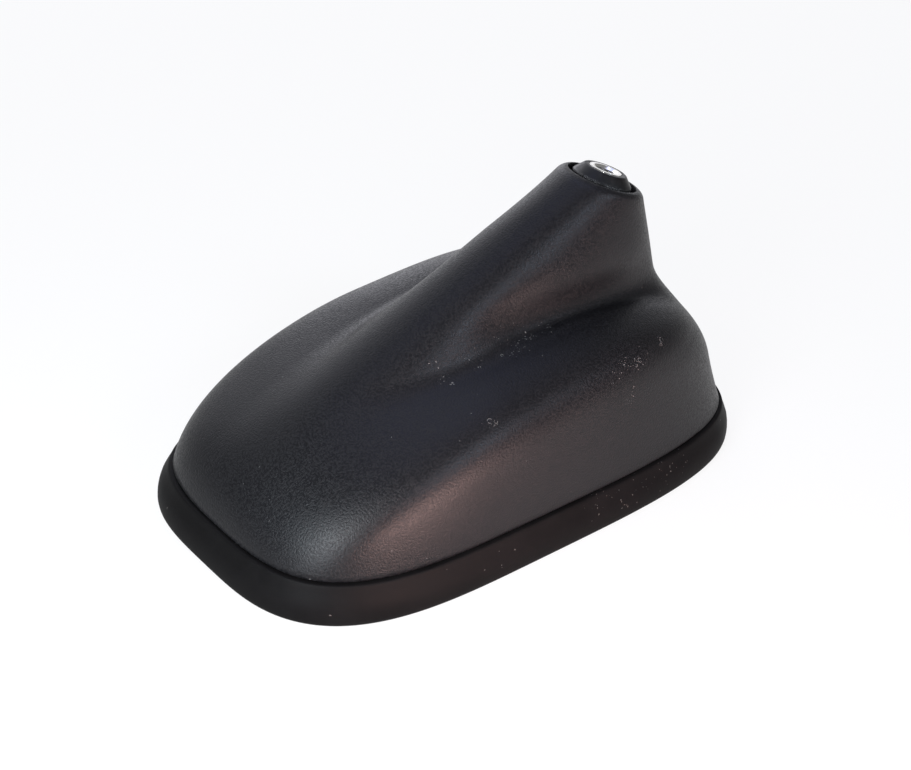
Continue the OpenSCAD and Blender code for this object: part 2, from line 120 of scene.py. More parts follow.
def skin(name, rings, closed=True, smooth=True):
    """A mesh in metres over rings of points in millimetres, all with as many points.

    closed joins the last ring to the first, as in a hollow shell; otherwise both end rings are shut by a fan.
    """
    rings = np.asarray(rings, float)
    m, n = rings.shape[:2]
    points = rings.reshape(-1, 3) / 1000
    j, i = np.meshgrid(np.arange(m if closed else m - 1), np.arange(n), indexing="ij")
    k, l = (j + 1) % m, (i + 1) % n
    faces = np.stack([j * n + i, j * n + l, k * n + l, k * n + i], -1).reshape(-1, 4).tolist()
    if not closed:
        for ring, turn in ((0, -1), (m - 1, 1)):
            points = np.vstack([points, points[ring * n:(ring + 1) * n].mean(0)])
            at = len(points) - 1
            faces += [[ring * n + a, ring * n + (a + 1) % n, at][::turn] for a in range(n)]
    mesh = bpy.data.meshes.new(name)
    mesh.from_pydata(points.tolist(), [], faces)
    tidy(mesh)
    mesh.polygons.foreach_set("use_smooth", [smooth] * len(mesh.polygons))
    return in_scene(name, mesh)


def sharpen(piece, degrees):
    """Keeps the edges crisp that turn more than this."""
    b = bmesh.new()
    b.from_mesh(piece.data)
    for e in b.edges:
        e.smooth = len(e.link_faces) == 2 and e.calc_face_angle(0) < math.radians(degrees)
    b.to_mesh(piece.data)
    b.free()
    return piece


class Wire:
    """An output in a tree of nodes. Sums on it add Math nodes."""

    def __init__(self, tree, socket=None):
        self.tree, self.socket = tree, socket

    def node(self, kind, settings=None, out=0, **values):
        """Adds a node, sets it up, and gives its sockets values or links. A name _N stands for socket N."""
        made = self.tree.nodes.new(kind)
        for key, value in (settings or {}).items():
            setattr(made, key, value)
        for key, value in values.items():
            spot = made.inputs[int(key[1:])] if key[0] == "_" else made.inputs[key.replace("_", " ")]
            if isinstance(value, Wire):
                self.tree.links.new(value.socket, spot)
            else:
                spot.default_value = value
        return Wire(self.tree, made.outputs[out])

    def maths(self, operation, a, b=0.0):
        return self.node("ShaderNodeMath", {"operation": operation}, _0=a, _1=b)

    def __add__(self, other):
        return self.maths("ADD", self, other)

    def __sub__(self, other):
        return self.maths("SUBTRACT", self, other)

    def __rsub__(self, other):
        return self.maths("SUBTRACT", other, self)

    def __mul__(self, other):
        return self.maths("MULTIPLY", self, other)

    def __gt__(self, other):
        return self.maths("GREATER_THAN", self, other)

    def __lt__(self, other):
        return self.maths("LESS_THAN", self, other)

    __radd__, __rmul__ = __add__, __mul__

    def spread(self, low, high, to_low=0.0, to_high=1.0):
        """This value's range low to high, smoothly moved to another range."""
        return self.node("ShaderNodeMapRange", {"interpolation_type": "SMOOTHSTEP"}, _0=self, _1=low,
                         _2=high, _3=to_low, _4=to_high)

    def noise(self, scale, detail=2.0, rough=0.5):
        return self.node("ShaderNodeTexNoise", Vector=self, Scale=scale, Detail=detail, Roughness=rough)

    def mix(self, a, b):
        """Colour a where this is 0 and b where it is 1."""
        a, b = (side if isinstance(side, Wire) else (*side, 1) for side in (a, b))
        return self.node("ShaderNodeMix", {"data_type": "RGBA"}, out=2, _0=self, _6=a, _7=b)

    def distance(self, x, y, z):
        """The distance in metres to a point in millimetres."""
        return self.node("ShaderNodeVectorMath", {"operation": "DISTANCE"}, out=1, _0=self,
                         _1=(x / 1000, y / 1000, z / 1000))


def material(name, color, metallic=0.0, roughness=0.5, specular=0.5, coat=0.0):
    """A Principled material with its plain values set.

    Gives the material, the wire of its place, a call that links its sockets and one that adds its bump.
    """
    made = bpy.data.materials.new(name)
    made.use_nodes = True
    tree = made.node_tree
    shader = tree.nodes["Principled BSDF"]
    plain = {"Base Color": (*color, 1), "Metallic": metallic, "Roughness": roughness,
             "Specular IOR Level": specular, "Coat Weight": coat}
    for key, value in plain.items():
        shader.inputs[key].default_value = value
    place = Wire(tree).node("ShaderNodeTexCoord", out="Object")

    def link(**wires):
        for key, wire in wires.items():
            tree.links.new(wire.socket, shader.inputs[key.replace("_", " ")])

    def bump(height, distance, strength=1.0):
        link(Normal=Wire(tree).node("ShaderNodeBump", Height=height, Distance=distance, Strength=strength))

    return made, place, link, bump


def about(place, x, y, z, reach):
    """1 near a point in millimetres, fading to 0 at this distance from it."""
    return place.distance(x, y, z).spread(0.3 * reach / 1000, reach / 1000, 1.0, 0.0)


def dust(place, plain, thick, *spots):
    """1 on a grain of dust, which a share of the cells has: plain in general and thick at the spots."""
    cells, swirls, bend = 2100.0, 2500.0, 0.0006
    swirl = place.node("ShaderNodeTexNoise", out=1, Vector=place, Scale=swirls, Detail=1.0)
    bent = place.node("ShaderNodeVectorMath", {"operation": "MULTIPLY_ADD"}, _0=swirl,
                      _1=(bend, bend, bend), _2=place)
    away = bent.node("ShaderNodeTexVoronoi", Vector=bent, Scale=cells)
    cell = bent.node("ShaderNodeTexVoronoi", out=1, Vector=bent, Scale=cells)
    pick = cell.node("ShaderNodeSeparateColor", _0=cell)
    bulk = cell.node("ShaderNodeSeparateColor", out=1, _0=cell)
    share = place.noise(90, 2).spread(0.45, 0.7, 0.3 * plain, 2 * plain)
    for spot in spots:
        share = share + about(place, *spot) * place.noise(400, 2).spread(0.42, 0.58, 0.1 * thick, thick)
    return (pick < share) * (away < bulk.spread(0.0, 1.0, 0.07, 0.3))


def stands_for(piece, node):
    """Carries a piece on the body in the place of a solid, which it hides."""
    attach(piece, "root")
    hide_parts(node)


def dress(piece, finish, node):
    """Gives a piece its material and the solid that it stands for."""
    piece.data.materials.clear()
    piece.data.materials.append(finish)
    stands_for(piece, node)


rubber, place, link, bump = material("gasket_rubber", (0.0045, 0.0042, 0.0043), roughness=0.55, specular=0.05)
mottle = place.noise(90, 4, 0.6)
skin_grain = place.noise(1500, 3, 0.7)
tone = mottle.spread(0.3, 0.7).mix((0.0034, 0.0032, 0.0033), (0.005, 0.0047, 0.0048))
grains = dust(place, 0.005, 0.3, (-9, 33, 7, 6), (-19, 33, 7, 8), (-30, 32, 6, 8))
link(Base_Color=grains.mix(tone, (0.09, 0.085, 0.08)), Roughness=mottle.spread(0.25, 0.75, 0.48, 0.62))
bump(skin_grain * 0.6 + mottle * 0.4, 0.00006, 0.7)

# The rim's section: how far each point of its outer side lies back from the rim's reach, and its height
seat = edge_z - clear
rim_bulge = [(1.15, 0), (0.75, 0.05), (0.38, 0.22), (0.12, 0.6), (0.01, 1.1), (0, 1.7), (0.04, 2.5),
             (0.2, 3.5), (0.5, 4.6), (0.95, 5.6), (1.4, 6.5), (1.75, 7.3), (1.98, 7.9), (2.12, 8.15),
             (2.3, 8.27), (2.5, seat)]
rim_inside, flange_inside = -2.5, -6.5
rim_profile = [(flange_inside, 0), *((gasket_reach - back, z) for back, z in rim_bulge),
               (rim_inside + 0.2, seat), (rim_inside, seat - 0.2), (rim_inside, pad_t),
               (flange_inside, pad_t)]
rim_turn = plan_angles(360)
gasket_rim = skin("roof_gasket_rim", [at_height(plan_offset(rim_turn, off), z) for off, z in rim_profile])
sharpen(gasket_rim, 50)

# The flat pad inside the rim, with a round hole for the stud
pad_outer = plan_offset(plan_angles(180), flange_inside + 0.1)
hole_r = stud_r + stud_gap
hole_turn = np.arctan2(pad_outer[:, 1], pad_outer[:, 0])
pad_hole = hole_r * np.stack([np.cos(hole_turn), np.sin(hole_turn)], -1)
pad_section = ((pad_outer, 0.0), (pad_outer, pad_t), (pad_hole, pad_t), (pad_hole, 0.0))
gasket_pad = skin("roof_gasket_pad", [at_height(ring, z) for ring, z in pad_section], smooth=False)


def block(name, low, high):
    """A plain block between two corners."""
    low, high = np.array(low) / 1000, np.array(high) / 1000
    fit = Matrix.Translation((low + high) / 2) @ Matrix.Diagonal((*(high - low), 1))
    b = bmesh.new()
    bmesh.ops.create_cube(b, size=1, matrix=fit)
    mesh = bpy.data.meshes.new(name)
    b.to_mesh(mesh)
    b.free()
    return in_scene(name, mesh)


def carve(piece, tool):
    """Cuts a closed tool out of a piece and drops the tool."""
    step = piece.modifiers.new("carve", "BOOLEAN")
    step.operation, step.object, step.solver = "DIFFERENCE", tool, "EXACT"
    bpy.context.view_layer.update()
    done = bpy.data.meshes.new_from_object(piece.evaluated_get(bpy.context.evaluated_depsgraph_get()))
    piece.modifiers.clear()
    old, piece.data = piece.data, done
    bpy.data.meshes.remove(old)
    bpy.data.objects.remove(tool)


# The pad has a slot for the plate's locating lug
lug_x, lug_l, lug_w = -22.0, 8.0, 5.0
slot_l, slot_w = lug_l / 2 + clear, lug_w / 2 + clear
carve(gasket_pad, block("lug_slot", (lug_x - slot_l, -slot_w, -1), (lug_x + slot_l, slot_w, pad_t + 1)))
dress(gasket_rim, rubber, "roof_gasket")
dress(gasket_pad, rubber, "roof_gasket")


# Base plate
# The base plate is a zinc die casting that carries everything. The hollow stud below it
# goes through the roof and takes the clamping nut, so its outside is threaded.

plate_t, stud_length = 3.0, 18.0
thread_root, thread_pitch = 6.1, 1.5

casting, place, link, bump = material("die_cast_zinc", (0.5, 0.505, 0.52), metallic=1.0, roughness=0.48)
cloud = place.noise(60, 5, 0.6)
sand = place.noise(1800, 2, 0.6)
link(Base_Color=cloud.spread(0.3, 0.7).mix((0.42, 0.425, 0.44), (0.56, 0.565, 0.575)),
     Roughness=cloud.spread(0.3, 0.7, 0.4, 0.6))
bump(sand, 0.00005, 0.6)


def cad_copy(node, name):
    """A copy of a solid's mesh with its loose triangles joined."""
    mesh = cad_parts[node].data.copy()
    mesh.name = name
    b = bmesh.new()
    b.from_mesh(mesh)
    bmesh.ops.remove_doubles(b, verts=b.verts, dist=1e-6)
    b.to_mesh(mesh)
    b.free()
    return in_scene(name, mesh)


def thread_rings(root, crest, pitch, low, high, around=72, rows=10):
    """Rings up a screw thread that fades out at both ends, with this many rows to a turn."""
    flat = 0.12
    count = int(round((high - low) / pitch * rows)) + 1
    z = np.linspace(low, high, count)[:, None]
    a = np.linspace(0, 2 * math.pi, around, endpoint=False)[None, :]
    phase = (z / pitch - a / (2 * math.pi)) % 1
    tooth = np.clip((np.abs(phase - 0.5) * 2 - flat) / (1 - 2 * flat), 0, 1)
    depth = np.clip(np.minimum(z - low, high - z) / pitch, 0, 1)
    r = crest + (root - crest) * (1 - tooth) * depth
    return np.stack([r * np.cos(a), r * np.sin(a), z + 0 * a], -1)


def circle_rings(profile, around=72):
    """Rings round the Z axis, one for each radius and height."""
    a = np.linspace(0, 2 * math.pi, around, endpoint=False)
    return np.array([[[r * math.cos(t), r * math.sin(t), z] for t in a] for r, z in profile])


# The copy's plain stud is drawn in, so that it lies just inside the thread
plate = cad_copy("base_plate", "base_plate_casting")
core_r, near = thread_root - 0.05, 0.02
for v in plate.data.vertices:
    r = math.hypot(v.co.x, v.co.y) * 1000
    if abs(r - stud_r) < near and v.co.z * 1000 < pad_t + near:
        v.co.x, v.co.y = v.co.x * core_r / r, v.co.y * core_r / r
sharpen(plate, 30)
dress(plate, casting, "base_plate")

# A thin sleeve carries the thread, from just inside the stud's foot to just under the plate
foot_z, inner_r, stud_around = 0.02 - stud_length, thread_root - 0.3, 96
thread_shell = np.concatenate([
    circle_rings([(inner_r, foot_z), (thread_root, foot_z)], stud_around),
    thread_rings(thread_root, stud_r, thread_pitch, 0.5 - stud_length, pad_t - 0.6, stud_around, rows=12),
    circle_rings([(inner_r, pad_t - 0.02)], stud_around),
])
dress(sharpen(skin("stud_thread", thread_shell), 50), casting, "base_plate")


# Seals and grommet
# Soft black rubber rings keep water out: one in the rib's groove under the cover, one round
# the tower under the mouth, and a plug with a hole for the lead in the end of the stud.

soft, place, link, bump = material("seal_rubber", (0.015, 0.015, 0.015), roughness=0.5, specular=0.45)
bloom = place.noise(160, 4, 0.6)
link(Base_Color=bloom.spread(0.35, 0.75).mix((0.012, 0.012, 0.012), (0.03, 0.03, 0.03)),
     Roughness=bloom.spread(0.3, 0.7, 0.42, 0.62))
bump(place.noise(2200, 2, 0.5), 0.00003, 0.5)


def finish_solids(finish, slot, *nodes):
    """Puts a finish on solids that show as they are."""
    for node in nodes:
        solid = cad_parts[node]
        solid.data.materials.clear()
        solid.data.materials.append(finish)


finish_solids(soft, "seal_rubber", "cover_seal", "tower_seal", "stud_grommet")


# Circuit board
# A green fibreglass board carries the amplifier. Its copper side has a solder mask, with
# bare pads where the can, the jack and the contact are soldered down.

board_mask, place, link, bump = material("solder_mask", (0.01, 0.11, 0.05), roughness=0.28, coat=0.3)
weave = place.node("ShaderNodeTexWave", {"wave_type": "BANDS", "bands_direction": "X"}, Vector=place,
                   Scale=700.0, Distortion=0.4)
tracks = place.node("ShaderNodeTexBrick", Vector=place, Scale=420.0, Mortar_Size=0.09)
copper_line = tracks.node("ShaderNodeRGBToBW", Color=tracks)
link(Base_Color=copper_line.spread(0.2, 0.6).mix((0.02, 0.2, 0.09), (0.008, 0.1, 0.045)),
     Roughness=weave.spread(0.2, 0.8, 0.24, 0.36))
bump(weave * 0.3 + copper_line * 0.7, 0.00003, 0.5)
finish_solids(board_mask, "board", "circuit_board")


# Jack, feed and can
# The jack for the lead and the feed from the mast are plated brass. A can pressed from tinned
# steel is soldered over the amplifier to screen it.

gold, place, link, bump = material("plated_brass", (0.72, 0.55, 0.26), metallic=1.0, roughness=0.3)
rub = place.noise(500, 4, 0.6)
link(Base_Color=rub.spread(0.3, 0.8).mix((0.75, 0.58, 0.28), (0.6, 0.42, 0.19)),
     Roughness=rub.spread(0.3, 0.7, 0.22, 0.42))
finish_solids(gold, "brass", "coax_jack", "feed_strip", "feed_contact")

tinned, place, link, bump = material("tinned_steel", (0.6, 0.61, 0.62), metallic=1.0, roughness=0.32)
crystal = place.node("ShaderNodeTexVoronoi", Vector=place, Scale=260.0)
link(Roughness=crystal.spread(0.0, 0.7, 0.24, 0.42))
bump(place.noise(900, 2, 0.5), 0.00002, 0.4)
finish_solids(tinned, "tin", "shield_can")


# Chip, coils and small parts
# Under the can sit the amplifier's moulded chip, two coils of enamelled wire, and a row each
# of capacitors and resistors: small blocks with a tinned cap at each end.

resin, place, link, bump = material("moulded_resin", (0.018, 0.018, 0.019), roughness=0.55)
fleck = place.noise(2400, 2, 0.6)
link(Roughness=fleck.spread(0.3, 0.7, 0.48, 0.64))
bump(fleck, 0.00002, 0.5)
finish_solids(resin, "chip", "amplifier_chip")

copper, place, link, bump = material("enamelled_copper", (0.62, 0.26, 0.12), metallic=1.0, roughness=0.3)
turns = place.node("ShaderNodeTexWave", {"wave_type": "BANDS", "bands_direction": "Z"}, Vector=place,
                   Scale=520.0)
link(Base_Color=turns.spread(0.1, 0.5).mix((0.2, 0.07, 0.03), (0.7, 0.3, 0.14)))
bump(turns, 0.0001, 0.8)
finish_solids(copper, "copper", "filter_coils")

ceramic, place, link, bump = material("fired_ceramic", (0.3, 0.2, 0.12), roughness=0.4)
link(Base_Color=place.noise(1300, 3).spread(0.3, 0.7).mix((0.26, 0.17, 0.1), (0.36, 0.26, 0.16)))

part_l, part_w, part_step, part_count = 2.0, 1.2, 3.6, 6
post_h, board_t = 5.0, 1.6
board_top = pad_t + plate_t + post_h + board_t
can_w, can_t = 20.0, 0.4
part_x, part_y = 8.0, can_w / 2 - can_t - 1


def chip_row(name, node, body_finish, height, y):
    """A row of surface parts, each a block with a tinned cap at both ends."""
    tree = bpy.data.node_groups.new(name, "GeometryNodeTree")
    tree.interface.new_socket("Geometry", in_out="OUTPUT", socket_type="NodeSocketGeometry")
    tree.interface.new_socket("Geometry", in_out="INPUT", socket_type="NodeSocketGeometry")
    sizes = (("Length", part_l), ("Width", part_w), ("Height", height), ("Step", part_step))
    for label, value in sizes:
        socket = tree.interface.new_socket(label, in_out="INPUT", socket_type="NodeSocketFloat")
        socket.default_value = value / 1000
    number = tree.interface.new_socket("Count", in_out="INPUT", socket_type="NodeSocketInt")
    number.default_value = part_count
    flow = Wire(tree)
    given = tree.nodes.new("NodeGroupInput")
    size = {s.name: Wire(tree, s) for s in given.outputs if s.name}
    tall = size["Height"] * 0.5

    def block_at(x, long, wide, high, finish):
        bulk = flow.node("ShaderNodeCombineXYZ", X=long, Y=wide, Z=high)
        middle = flow.node("ShaderNodeCombineXYZ", X=x, Z=tall)
        box = flow.node("GeometryNodeMeshCube", Size=bulk)
        moved = flow.node("GeometryNodeTransform", Geometry=box, Translation=middle)
        return flow.node("GeometryNodeSetMaterial", Geometry=moved, Material=finish)

    body = block_at(0.0, size["Length"] * 0.6, size["Width"] * 0.96, size["Height"] * 0.96, body_finish)
    caps = [block_at(size["Length"] * side, size["Length"] * 0.2, size["Width"], size["Height"], tinned)
            for side in (-0.4, 0.4)]
    join = tree.nodes.new("GeometryNodeJoinGeometry")
    for part in (body, *caps):
        tree.links.new(part.socket, join.inputs[0])
    start = ((part_x + part_l / 2) / 1000, y / 1000, board_top / 1000)
    line = flow.node("GeometryNodeMeshLine", Count=size["Count"], Start_Location=start,
                     Offset=flow.node("ShaderNodeCombineXYZ", X=size["Step"]))
    row = flow.node("GeometryNodeInstanceOnPoints", Points=line, Instance=Wire(tree, join.outputs[0]))
    whole = flow.node("GeometryNodeRealizeInstances", Geometry=row)
    end = tree.nodes.new("NodeGroupOutput")
    tree.links.new(whole.socket, end.inputs[0])

    parts = in_scene(name, bpy.data.meshes.new(name))
    parts.modifiers.new("row", "NODES").node_group = tree
    bpy.context.view_layer.update()
    made = bpy.data.meshes.new_from_object(parts.evaluated_get(bpy.context.evaluated_depsgraph_get()))
    parts.modifiers.clear()
    parts.data = made
    stands_for(parts, node)


chip_row("chip_capacitor_row", "chip_capacitors", ceramic, 1.0, part_y - part_w / 2)
chip_row("chip_resistor_row", "chip_resistors", resin, 0.6, -part_y + part_w / 2)


# Screws
# Zinc-plated steel screws hold the cover to the plate from below, and the tower's flange and
# the board from above.

zinc, place, link, bump = material("zinc_plate", (0.55, 0.56, 0.58), metallic=1.0, roughness=0.35)
haze = place.noise(700, 3, 0.6)
link(Base_Color=haze.spread(0.3, 0.7).mix((0.5, 0.52, 0.56), (0.62, 0.62, 0.6)),
     Roughness=haze.spread(0.3, 0.7, 0.28, 0.46))
finish_solids(zinc, "zinc", "cover_screws", "tower_screws", "board_screws")


# Mast tower
# A moulded tower stands on the plate and carries the mast. Its conical collar fills the
# cover's mouth with a thin gap all round, and the bright threaded insert sits in its top.

mouth = np.array([-31.6, 0, 59.3])
lean = math.radians(18.4)
mast_axis = np.array([-math.sin(lean), 0, math.cos(lean)])
mast_front = np.array([math.cos(lean), 0, math.sin(lean)])
mast_side = np.array([0, 1, 0])
mouth_r, collar_gap, collar_h, collar_foot = 7.5, 1.1, 1.9, -1.2
insert_r = 3.5


def on_mast(rings):
    """Moves rings drawn about Z, with the mouth at height 0, onto the mast's axis."""
    rings = np.asarray(rings)
    return mouth + rings[..., :1] * mast_front + rings[..., 1:2] * mast_side + rings[..., 2:] * mast_axis


def trim_above(piece, point, normal):
    """Takes off what lies past a plane in millimetres and closes the cut."""
    b = bmesh.new()
    b.from_mesh(piece.data)
    cut = bmesh.ops.bisect_plane(b, geom=b.verts[:] + b.edges[:] + b.faces[:], dist=1e-7,
                                 plane_co=Vector(point) / 1000, plane_no=Vector(normal), clear_outer=True)
    edges = [e for e in cut["geom_cut"] if isinstance(e, bmesh.types.BMEdge)]
    bmesh.ops.triangle_fill(b, edges=edges, use_beauty=True, normal=Vector(normal))
    b.to_mesh(piece.data)
    b.free()


tower_plastic, place, link, bump = material("tower_plastic", (0.006, 0.006, 0.0065), roughness=0.45,
                                            specular=0.2)
scuff = place.noise(420, 4, 0.65)
pepper = place.noise(2600, 2, 0.6)
tone = scuff.spread(0.4, 0.8).mix((0.004, 0.004, 0.0045), (0.012, 0.012, 0.012))
along_mast = place.node("ShaderNodeVectorMath", {"operation": "DOT_PRODUCT"}, out=1, _0=place,
                        _1=tuple(mast_axis))
above = along_mast - float(mouth @ mast_axis) / 1000
# Dust lies in the joint round the foot of the cone
lint = above.spread(0.0, 0.0005, 1.0, 0.0) * place.noise(4500, 2, 0.7).spread(0.52, 0.6)
lint = lint * place.noise(330, 2).spread(0.38, 0.56)
link(Base_Color=lint.mix(tone, (0.14, 0.14, 0.135)),
     Roughness=lint.maths("MAXIMUM", scuff.spread(0.3, 0.7, 0.34, 0.56), lint * 0.8))
bump(pepper * 0.5 + scuff * 0.5, 0.00005, 0.6)

tower = cad_copy("mast_tower", "mast_tower_body")
trim_above(tower, mouth + collar_foot * mast_axis, mast_axis)
sharpen(tower, 30)
dress(tower, tower_plastic, "mast_tower")

# The collar's section, from its foot in the mouth up over the cone to the edge of the insert
collar_r, top_r = mouth_r - collar_gap, insert_r + 1
collar_profile = [
    (insert_r + 0.02, collar_foot), (collar_r, collar_foot), (collar_r, -0.3), (collar_r - 0.03, -0.12),
    (collar_r - 0.12, 0.05), (collar_r - 0.25, 0.2), (top_r + 0.32, collar_h - 0.3),
    (top_r + 0.16, collar_h - 0.12), (top_r - 0.02, collar_h - 0.02), (top_r - 0.2, collar_h),
    (insert_r + 0.2, collar_h), (insert_r + 0.06, collar_h - 0.06), (insert_r + 0.02, collar_h - 0.2),
]
collar = skin("mast_collar", on_mast(circle_rings(collar_profile, around=96)))
sharpen(collar, 45)
dress(collar, tower_plastic, "mast_tower")


# Mast socket
# The insert is a brass turning with nickel plate and an M5 thread for the mast's stud. Its
# face is bright, with turning marks, and a plain chamfer leads into the thread.

thread_r, bore_r, screw_pitch, thread_depth = 2.5, 2.07, 0.8, 10.0
chamfer_r, spigot_r = 2.6, 1.4
socket_face = collar_h + 0.1
thread_foot, insert_foot = socket_face - thread_depth, -thread_depth - 1.5
spigot_foot = insert_foot - 3.5

nickel, place, link, bump = material("nickel_plate", (0.74, 0.73, 0.7), metallic=1.0, roughness=0.2)
from_mouth = place.node("ShaderNodeMapping", Vector=place, Location=tuple(-mouth / 1000))
grime = place.noise(800, 4, 0.6)
link(Base_Color=grime.spread(0.45, 0.8).mix((0.76, 0.75, 0.72), (0.45, 0.43, 0.4)),
     Roughness=grime.spread(0.3, 0.8, 0.16, 0.38))
bump(from_mouth.noise(1600, 3, 0.7), 0.00002, 0.4)

# Up the insert's outside from the middle of its foot, over its face and down the thread to the bore's end
socket_rings = np.concatenate([
    circle_rings([(0.001, spigot_foot), (spigot_r - 0.2, spigot_foot), (spigot_r, spigot_foot + 0.2),
                  (spigot_r, insert_foot), (insert_r - 0.2, insert_foot), (insert_r, insert_foot + 0.2),
                  (insert_r, socket_face - 0.15), (insert_r - 0.04, socket_face - 0.05),
                  (insert_r - 0.15, socket_face), (chamfer_r + 0.05, socket_face),
                  (chamfer_r, socket_face - 0.03)]),
    thread_rings(thread_r, bore_r, screw_pitch, thread_foot + 0.3, socket_face - 0.5)[::-1],
    circle_rings([(bore_r - 0.02, thread_foot), (0.001, thread_foot - 0.6)]),
])
insert = sharpen(skin("mast_socket_insert", on_mast(socket_rings), closed=False), 35)
dress(insert, nickel, "mast_socket")


# Cover
# The cover is one moulding of black plastic with a fine spark-eroded grain. A soft dome
# rises to a leaning stem, with a ridge down its front and a hollow on each side of its foot.

wall, bore_depth = 2.2, 9.0
# Height of the top over the roof at the stud, and how it falls and arches to the ends and the sides
dome_z, dome_fall, dome_arch, dome_bend = 37.0, 6.8, 8.9, 2.2
cross_arch, cross_flat, cross_reach, dome_slope = 2.65, 2.0, 20.0, 0.93
# Lean of the wall for each millimetre of height, and how it grows up to this height: side, nose, tail
wall_lean = np.array([0.087, 0.049, 0.194])
wall_curl = np.array([0.06, 0.167, -0.06])
wall_height = 20.0
# Rounding of the shoulder, its growth to the nose, and how much rounder the outline is further up
shoulder_r, shoulder_grow, upper_round = 14.0, 1.1, 0.63
# Rounding of the mouth's rim, and the stem's flare below it at the front, the rear and the sides
rim_round, flare_front, flare_rear, flare_side, flare_spread = 1.3, 0.99, 0.887, 0.13, 0.0023
# Squareness of the stem's section in front and behind, and the depth at which it gets there
section_front, section_rear, section_run = 2.33, 2.46, 15.9
# Rounding at the stem's foot, which shrinks towards the nose, and of the ridge down its front
foot_blend, foot_grow, foot_start, foot_run, ridge_round = 2.5, 0.65, -10.0, 30.0, 8.3
# The hollow on each side of the stem's foot: its size and its middle
scoop_depth, scoop_length, scoop_width = 2.15, 23.5, 2.7
scoop_x, scoop_y, scoop_z = mouth[0] + 12.9, 10.6, dome_z + 1.9
# The rounding of the lower edge, and the point inside from which the form is looked up
lip_r = 0.18
heart = np.array([-6.0, 0, edge_z])


def rim(depth):
    """How far the mouth's rounded rim has widened at this depth."""
    return rim_round * np.sqrt(1 - (1 - np.minimum(depth / rim_round, 1)) ** 2)


def stem_side(depth):
    """Half the stem's width at this depth below the mouth."""
    return mouth_r + rim(depth) + flare_side * depth + flare_spread * depth ** 2


def smooth_high(a, b, k):
    """The higher of two measures, with a rounded change between them."""
    return np.maximum(a, b) + np.maximum(k - np.abs(a - b), 0) ** 2 / (4 * k)


def toward(c, values):
    """A value that is given for the side, the nose and the tail, at the cosine c of the direction."""
    side, nose, tail = values
    return side + np.where(c > 0, nose - side, tail - side) * c * c


def cover_wall(x, y, z):
    """The leaning wall round the outline, rounder in plan further up."""
    dx, dy = x - widest_x, y / taper(x)
    r = np.hypot(dx, dy) + 1e-6
    c, rise = dx / r, z - edge_z
    reach = plan_reach(c, dy / r, -upper_round * np.clip(rise / wall_height, 0, 1))
    return (cover_half_width * (r / reach - 1) + toward(c, wall_lean) * rise
            + toward(c, wall_curl) * rise * np.abs(rise) / wall_height)


def form(p):
    """The cover's outer form: negative inside, zero on the surface, about in millimetres."""
    x, y, z = p[..., 0], p[..., 1], p[..., 2]
    beside = cover_wall(x, y, z)
    q, w = 2 * x / cover_length, (y / cross_reach) ** 2
    spine = dome_z - dome_fall * q - dome_arch * q ** 2 + dome_bend * q ** 3
    top = spine - cross_arch * w + cross_flat * w ** 2
    dome = smooth_high(beside, dome_slope * (z - top), np.maximum(shoulder_r + shoulder_grow * q, 1))
    d = p - mouth
    depth = np.maximum(-(d @ mast_axis), 0)
    along = d @ mast_front
    front = along > 0
    reach = mouth_r + rim(depth) + np.where(front, flare_front, flare_rear) * depth
    n = 2 + (np.where(front, section_front, section_rear) - 2) * np.minimum(depth / section_run, 1)
    width = stem_side(depth)
    stem = width * (((np.abs(along) / reach) ** n + (np.abs(y) / width) ** n) ** (1 / n) - 1)
    ridge = smooth_high(stem, beside, ridge_round)
    blend = np.maximum(foot_blend - foot_grow * (x - foot_start) / foot_run, 0.5)
    low = -smooth_high(-dome, -ridge, blend)
    run, across = (x - scoop_x) / scoop_length, (np.abs(y) - scoop_y) / scoop_width
    up = (z - scoop_z) / (2 * scoop_width)
    return np.maximum(low + scoop_depth * np.exp(-run ** 4 - across ** 2 - up ** 2), d @ mast_axis)


def unit(v):
    """Directions brought to length 1."""
    return v / np.linalg.norm(v, axis=-1, keepdims=True)


def meet(d, near=7.0, far=100.0):
    """Where the ray from the heart along each d leaves the form, between two distances."""
    near, far = np.full(d.shape[:-1], near), np.full(d.shape[:-1], far)
    for _ in range(34):
        middle = (near + far) / 2
        inside = form(heart + middle[..., None] * d) < 0
        near, far = np.where(inside, middle, near), np.where(inside, far, middle)
    return heart + near[..., None] * d


def swing(a, b, w):
    """Directions a share w of the way from a to b."""
    turn = np.arccos(np.clip((a * b).sum(-1, keepdims=True), -1, 1))
    return (np.sin((1 - w) * turn) * a + np.sin(w * turn) * b) / np.sin(turn)


def square_out(p):
    """The direction square to the form at each point."""
    return unit(np.stack([form(p + h) - form(p - h) for h in np.eye(3) * 0.05], -1))


def mast_ring(turn, r, depth):
    """A ring of this radius round the mast's axis, this deep below the mouth."""
    return on_mast(at_height(r * np.column_stack([np.cos(turn), np.sin(turn)]), -depth))


# Rings run up the outside, over the rim, down the bore and back down the inside of the wall
cover_around, outer_rings, inner_rings, crowd = 400, 150, 25, 1.6
foot = plan_point(plan_angles(cover_around))
turn = np.arctan2(foot[:, 1], foot[:, 0] - heart[0])
low = unit(at_height(foot, edge_z) - heart)
high = unit(mast_ring(turn, mouth_r, 0.0) - heart)
step_ring = mast_ring(turn, stem_side(np.float64(bore_depth)) - wall, bore_depth)
inner_high = unit(step_ring - heart)

